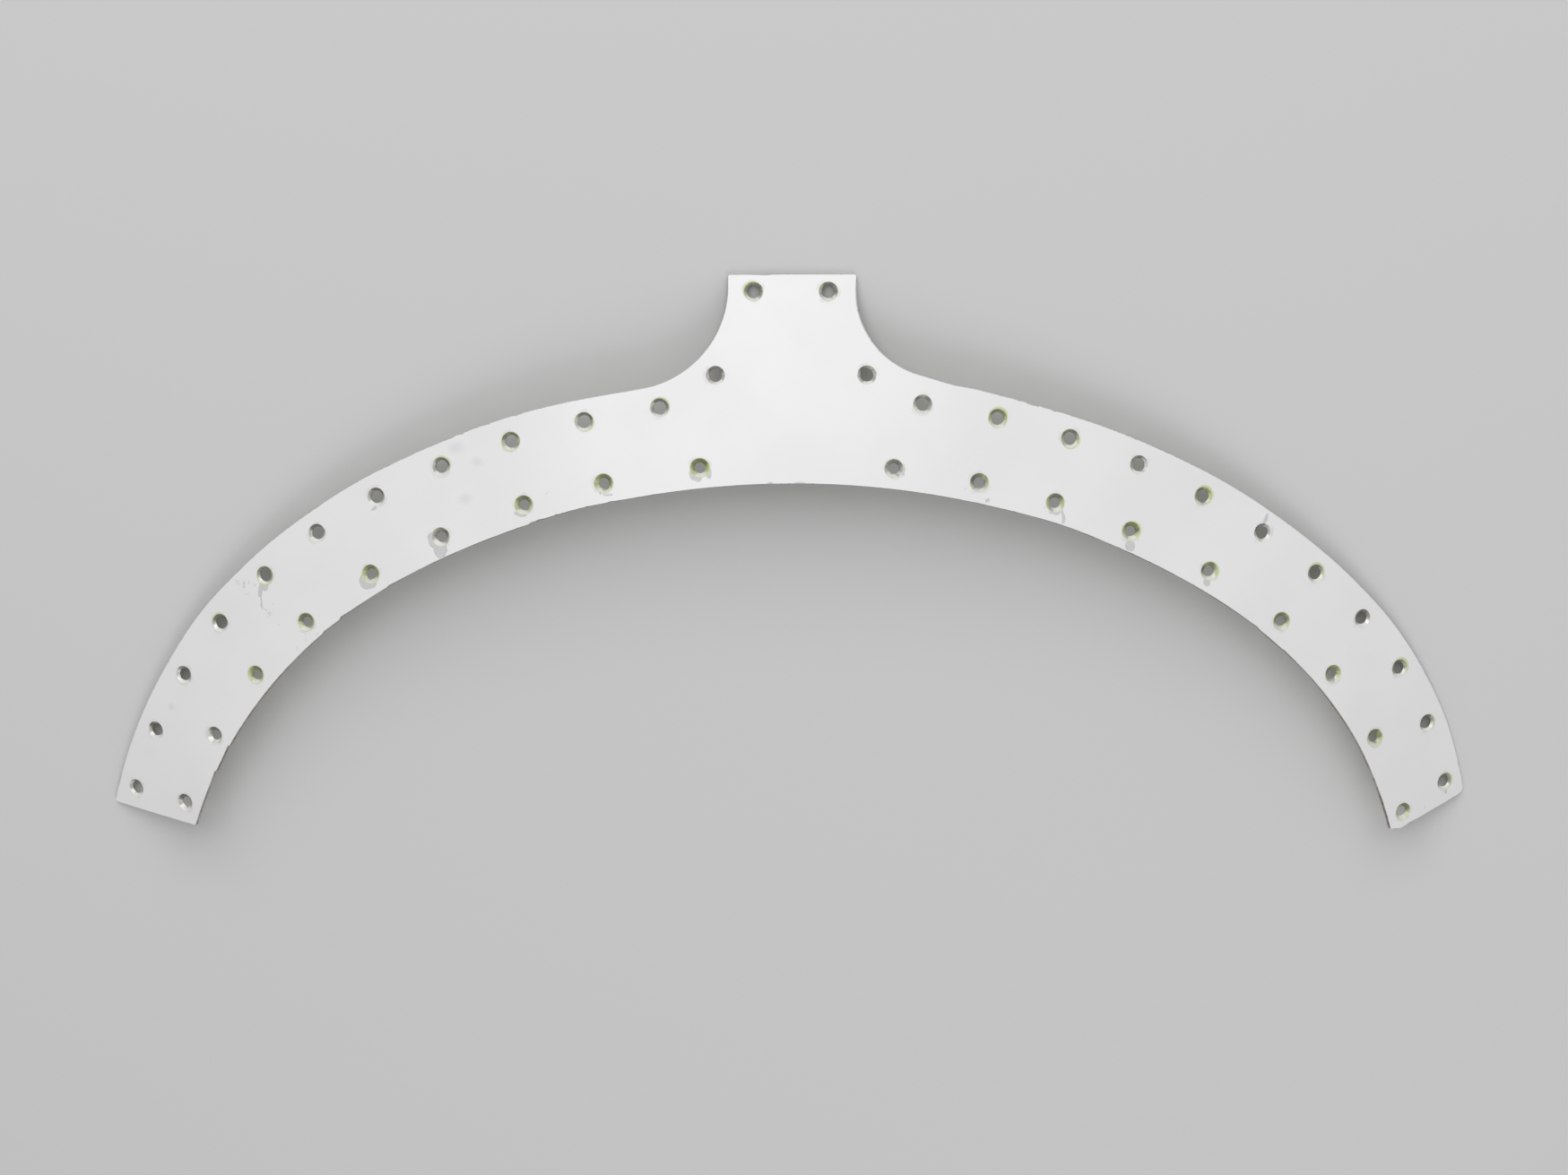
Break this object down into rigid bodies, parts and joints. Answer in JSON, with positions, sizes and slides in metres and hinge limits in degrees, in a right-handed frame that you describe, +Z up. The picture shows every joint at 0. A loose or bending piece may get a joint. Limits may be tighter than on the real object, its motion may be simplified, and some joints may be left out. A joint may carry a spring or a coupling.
{
  "type": "windshield retainer",
  "caption": "Arched retainer strip of rolled sheet metal with a central stem and countersunk screw holes along both edges, painted white, for the foot of a two-piece windshield.",
  "frame": {"origin": "middle of the base of the bounding box, on the surface that the part lies on", "axes": "+X along the arch, from the left leg to the right leg as seen from the painted side, +Y from the legs' ends towards the stem, +Z up, out of the painted side"},
  "size_m": [0.6812, 0.2902, 0.0435],
  "materials": {
    "white_paint": "gloss white paint over green primer, on 1.8 mm aluminium sheet"
  },
  "bodies": {
    "root": {"windshield_retainer": "white_paint"}
  },
  "joints": []
}
